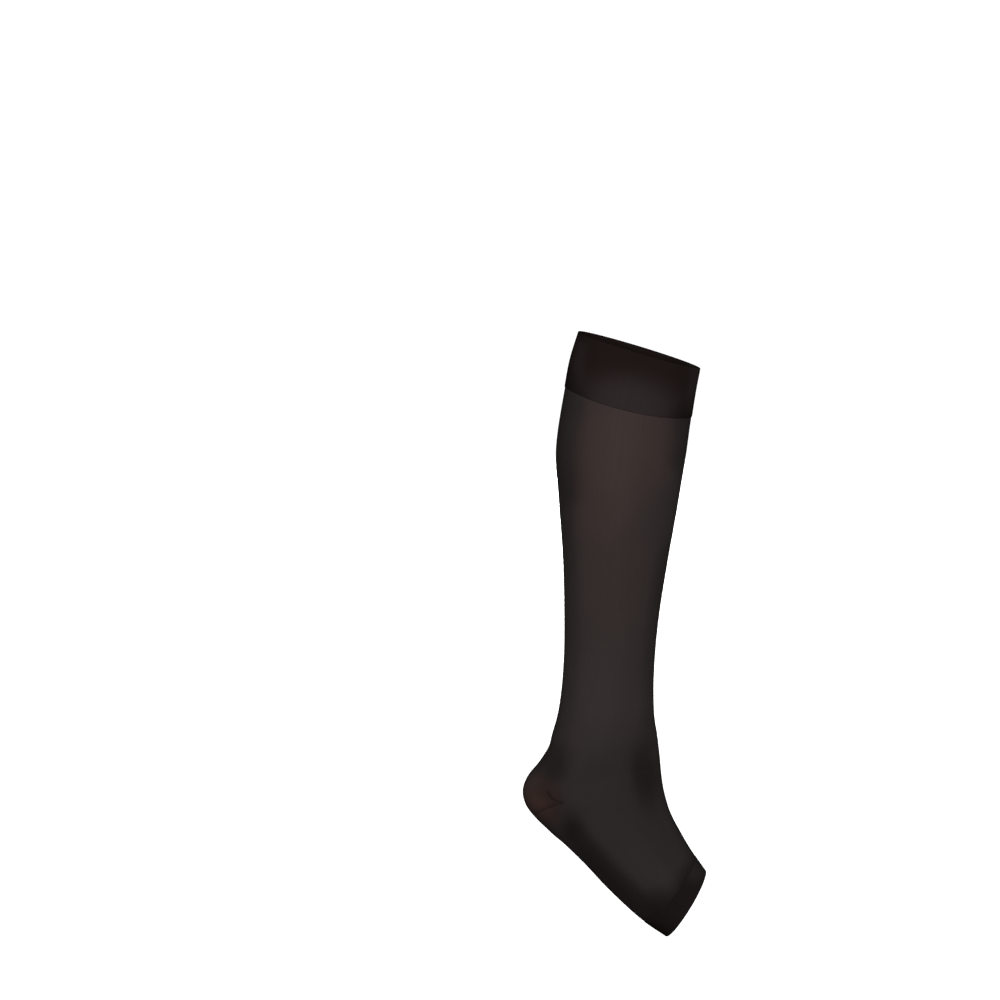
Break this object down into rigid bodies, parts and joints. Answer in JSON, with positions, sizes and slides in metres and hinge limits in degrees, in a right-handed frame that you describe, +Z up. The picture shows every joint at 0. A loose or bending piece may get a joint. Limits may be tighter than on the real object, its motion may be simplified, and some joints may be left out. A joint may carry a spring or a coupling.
{
  "type": "compression stocking",
  "caption": "Knee-high compression stocking in its worn form: a fine half-sheer knitted tube with a doubled top band, a closed heel pocket and an open, banded toe.",
  "frame": {"origin": "middle of the top opening, where the leg that wears the stocking carries it", "axes": "+Z up, out of the top opening; +X forward, the way the toes point; +Y to the wearer's left"},
  "size_m": [0.1632, 0.1144, 0.5376],
  "materials": {
    "double_knit": "black fine knit, doubled and opaque, matt",
    "sheer_knit": "black fine knit, half sheer, matt with a soft sheen",
    "heel_knit": "black fine knit, stretched thin over the heel so that it looks brown, matt"
  },
  "bodies": {
    "root": {"top_band": "double_knit", "leg": "sheer_knit", "heel": "heel_knit", "foot": "sheer_knit", "toe_band": "double_knit"}
  },
  "joints": []
}
